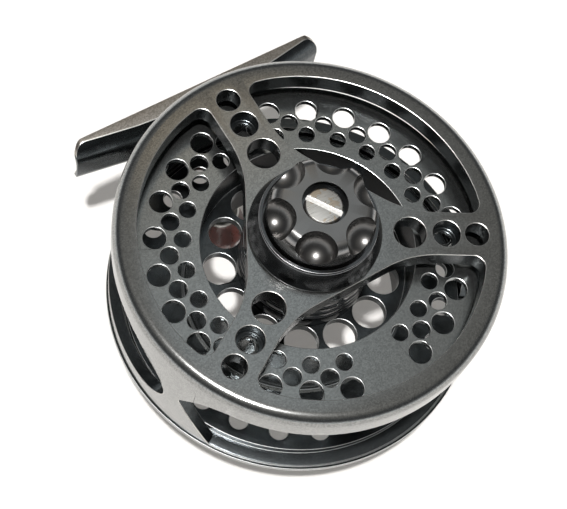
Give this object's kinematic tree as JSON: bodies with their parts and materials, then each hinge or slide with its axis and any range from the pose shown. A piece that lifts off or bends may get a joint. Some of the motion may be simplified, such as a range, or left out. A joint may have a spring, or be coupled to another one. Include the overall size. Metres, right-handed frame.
{
  "type": "fly reel",
  "caption": "Fly fishing reel: open machined frame with a rod foot, drilled large-arbor spool on a spindle, disc drag set by a dimpled knob, and a turning winding handle.",
  "frame": {"origin": "middle of the foot's flat seat, where the reel meets the rod", "axes": "+X along the rod, +Y out of the foot's seat towards the rod, +Z along the spool's axis towards the drag knob"},
  "size_m": [0.0908, 0.0959, 0.0636],
  "materials": {
    "gunmetal_frame": "bead-blasted and anodised gunmetal, satin",
    "spool_metal": "anodised blue-grey, satin",
    "black_metal": "black anodised, polished",
    "foot_metal": "dark anodised, satin",
    "steel": "stainless steel, turned",
    "spring_steel": "spring steel",
    "brass": "turned brass",
    "friction": "carbon friction disc, matt",
    "handle_wood": "dark red-brown, polished"
  },
  "bodies": {
    "frame": {"frame": "gunmetal_frame", "reel_foot": "foot_metal", "foot_screw_1": "steel", "foot_screw_2": "steel", "drag_collar": "black_metal", "drag_drum": "black_metal", "drum_screw_1": "steel", "drum_screw_2": "steel", "drum_screw_3": "steel", "spindle": "steel", "knob_screw": "steel", "thrust_ring": "steel", "pressure_disc": "steel", "friction_disc_upper": "friction", "friction_disc_lower": "friction", "drum_plate": "steel", "snap_ring": "spring_steel", "spool_cap": "black_metal", "drag_spring": "spring_steel"},
    "drag_knob": {"drag_knob": "black_metal", "knob_sleeve": "brass"},
    "drag_nut": {"drag_nut": "brass"},
    "spool": {"spool": "spool_metal", "drag_rotor": "steel", "rotor_bush": "brass", "roller_clutch": "steel", "spool_bearing": "steel", "handle_post": "steel", "handle_screw": "steel"},
    "handle": {"handle_knob": "handle_wood", "handle_ferrule": "steel"}
  },
  "joints": [
    {"name": "spool_spin", "type": "hinge", "parent": "frame", "child": "spool", "pos_m": [0, -0.0505, 0.0205], "axis": [0, 0, 1], "continuous": true},
    {"name": "handle_spin", "type": "hinge", "parent": "spool", "child": "handle", "pos_m": [-0.00347, -0.02221, -0.016], "axis": [0, 0, 1], "continuous": true},
    {"name": "drag_knob_turn", "type": "hinge", "parent": "frame", "child": "drag_knob", "pos_m": [0, -0.0505, 0.0205], "axis": [0, 0, -1], "range_deg": [0, 300]},
    {"name": "drag_nut_slide", "type": "slide", "parent": "frame", "child": "drag_nut", "axis": [0, 0, -1], "range_m": [0, 0.00067], "deforming": ["drag_spring"]}
  ],
  "couplings": [
    {"joint": "drag_nut_slide", "follows": "drag_knob_turn", "m_per_rad": 0.000127}
  ]
}
